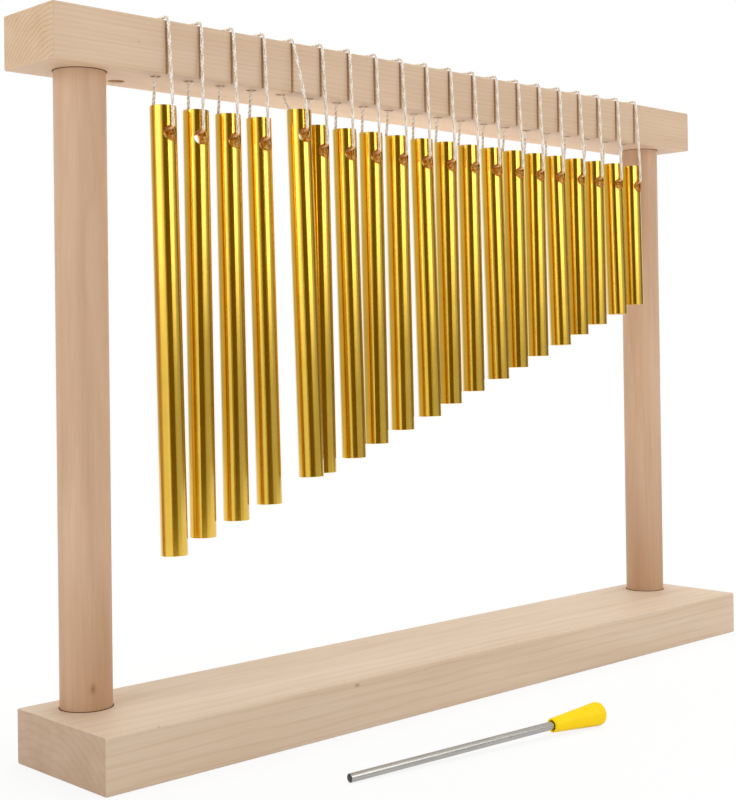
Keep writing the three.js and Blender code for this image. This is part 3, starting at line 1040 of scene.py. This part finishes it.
def makeBeater():
    rodRadius, capRadius, grip = beater["rod"] / 2, beater["cap"] / 2, beater["bore"]
    rodEnd, start, end = beater["rodLength"], beater["capStart"], beater["length"]
    edge, lip, bulge = beater["rodEdge"], beater["boreEdge"], beater["capEdge"]
    rise = atan2(capRadius - rodRadius, end - beater["capEnd"])
    lay = (Matrix.Translation(Vector((*beater["start"], rodRadius * cos(rise))) * mm)
           @ Matrix.Rotation(radians(beater["heading"]), 4, "Z")
           @ Matrix.Rotation(-rise, 4, "Y") @ Matrix.Rotation(radians(90), 4, "Y"))
    rod = turned("rod", [
        (0, 0, 0), (rodRadius - edge, 0, 0.1), (rodRadius, edge, 0.1),
        *[(rodRadius, z, 0) for z in beater["rodRings"]],
        (rodRadius, rodEnd - edge, 0), (rodRadius - edge, rodEnd, 0), (0, rodEnd, 0)], 64)
    cap = turned("cap", [
        (0, beater["boreEnd"], 0), (grip, beater["boreEnd"], 0), (grip, start + lip, 0.1),
        (grip + lip, start, 0), (beater["mouth"], start, 0.2),
        (capRadius, end - beater["capEnd"], 0.9), (capRadius - bulge, end - bulge, 0.6),
        (capRadius - beater["capEnd"], end, 0.6), (0, end, 0)], 64)
    for name, mesh, material, node, finish in (
            ("beaterRod", rod, drawnSteel(), "beater_rod", "rod_steel"),
            ("beaterCap", cap, mouldedVinyl(), "beater_cap", "cap_plastic")):
        mesh.transform(lay)
        piece = addObject(name, mesh)
        dress(piece, material, 32)
        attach(piece, "beater")
        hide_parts(node)


makeBeater()
print("beater is laid down")


# Floor, background and light.

studio = {
    "ambient": 0.58,
    "floorReach": 6000,
    "glow": (0.85, 1.0),  # share of plain white in the floor, near the stand and far off
    "glowRange": (0.3, 0.9),
    "aim": (0, 0, 0.15),  # the middle of the row, where the lamps point
    # place, width and height in metres, watts, spread in degrees
    "lamps": {
        "leftSoftbox": ((-1.25, 0.04, 0.48), 0.95, 0.72, 4.2, 180),
        "rightSoftbox": ((0.62, -1.08, 0.48), 0.95, 0.72, 3.4, 180),
        "baseBounce": ((0, 0, 0.024), 0.24, 0.05, 0.11, 90),
        "topSoftbox": ((0.4, 0.2, 1.3), 1.5, 1.5, 12.9, 180),
    },
    # upright cards round the object that show in reflections only: azimuth and width in
    # degrees, distance in metres, colour, strength at the low and the high fade height
    "cardFade": (0.15, 0.4),  # metres
    "cardEnds": (2, 1000),  # millimetres
    "cardColumns": 8,
    "cards": {
        "brownCard": (238, 46, 0.7, "#E2BA52", 0.21, 0.21),
        "rightGlow": (280, 34, 0.85, "#FFFFFF", 0.5, 3.6),
        "rightGrey": (310, 24, 1.3, "#FFFFFF", 0.5, 0.6),
        "rightShade": (342, 38, 1.3, "#FFEFC8", 0.2, 0.24),
        "leftGrey": (133, 62, 1.3, "#FFFFFF", 0.55, 0.65),
        "leftGlow": (184, 38, 1.25, "#FFFFFF", 0.85, 2.6),
    },
}


def seenRays(tree):
    # 1 for what the camera sees, straight or in a reflection, and 0 for what lights the object
    light = addNode(tree, "ShaderNodeLightPath").outputs
    seen = light["Is Camera Ray"]
    for other in ("Is Glossy Ray", "Is Transmission Ray"):
        seen = addNode(tree, "ShaderNodeMath", {"operation": "MAXIMUM"}, {
            0: seen, 1: light[other]})
    return seen


def floorWhite():
    # Matt white table top. To the camera and in reflections it shows as the white
    # background, with the shadow left in.
    material, tree = newMaterial("mattWhiteTable")
    matt = addNode(tree, "ShaderNodeBsdfDiffuse", {}, {"Color": colour("#F4F4F4")})
    glow = addNode(tree, "ShaderNodeEmission")
    spot = addNode(tree, "ShaderNodeTexCoord").outputs["Object"]
    away = addNode(tree, "ShaderNodeVectorMath", length, {0: spot})
    fade = addNode(tree, "ShaderNodeMapRange", smoothStep, {
        "Value": away.outputs["Value"], "From Min": studio["glowRange"][0],
        "From Max": studio["glowRange"][1], "To Min": studio["glow"][0],
        "To Max": studio["glow"][1]})
    share = addNode(tree, "ShaderNodeMath", multiply, {0: seenRays(tree), 1: fade})
    both = addNode(tree, "ShaderNodeMixShader", {}, {0: share, 1: matt, 2: glow})
    addNode(tree, "ShaderNodeOutputMaterial", {}, {"Surface": both})
    return material


def makeFloor():
    reach = studio["floorReach"]
    corners = [(-reach, -reach, 0), (reach, -reach, 0), (reach, reach, 0), (-reach, reach, 0)]
    floor = addObject("floor", plainMesh("floor", corners, (), [(0, 1, 2, 3)]))
    floor.data.materials.append(floorWhite())


def makeSky():
    world = bpy.data.worlds.new("studioAir")
    scene.world = world
    world.use_nodes = True
    tree = world.node_tree
    tree.nodes.clear()
    level = addNode(tree, "ShaderNodeMapRange", {}, {
        "Value": seenRays(tree), "To Min": studio["ambient"], "To Max": 1.0})
    air = addNode(tree, "ShaderNodeBackground", {}, {"Color": (1, 1, 1, 1), "Strength": level})
    addNode(tree, "ShaderNodeOutputWorld", {}, {"Surface": air})


def addLamp(name, place, width, height, watts, spread):
    lamp = bpy.data.lights.new(name, "AREA")
    lamp.shape = "RECTANGLE"
    lamp.size, lamp.size_y, lamp.energy, lamp.spread = width, height, watts, radians(spread)
    holder = addObject(name, lamp)
    holder.location = place
    ahead = Vector(studio["aim"]) - Vector(place)
    holder.rotation_euler = ahead.to_track_quat("-Z", "Y").to_euler()
    holder.visible_camera = holder.visible_glossy = False


def addCard(name, azimuth, width, distance, tint, low, high):
    # a glowing card, curved round the object, that only shows in reflections
    material, tree = newMaterial(name)
    fade, columns = studio["cardFade"], studio["cardColumns"]
    place = addNode(tree, "ShaderNodeTexCoord").outputs["Object"]
    height = addNode(tree, "ShaderNodeSeparateXYZ", {}, {0: place})
    strength = addNode(tree, "ShaderNodeMapRange", smoothStep, {
        "Value": height.outputs["Z"], "From Min": fade[0], "From Max": fade[1], "To Min": low,
        "To Max": high})
    glow = addNode(tree, "ShaderNodeEmission", {}, {"Color": colour(tint), "Strength": strength})
    addNode(tree, "ShaderNodeOutputMaterial", {}, {"Surface": glow})
    points = []
    for i in range(columns + 1):
        angle = radians(azimuth + width * (i / columns - 0.5))
        for z in studio["cardEnds"]:
            points.append((distance / mm * cos(angle), distance / mm * sin(angle), z))
    faces = [(2 * i, 2 * i + 2, 2 * i + 3, 2 * i + 1) for i in range(columns)]
    card = addObject(name, plainMesh(name, points, (), faces))
    card.data.materials.append(material)
    card.visible_camera = card.visible_diffuse = card.visible_shadow = False
    card.visible_transmission = card.visible_volume_scatter = False


makeFloor()
makeSky()
for name, lamp in studio["lamps"].items():
    addLamp(name, *lamp)
for name, card in studio["cards"].items():
    addCard(name, *card)
print("studio is lit")
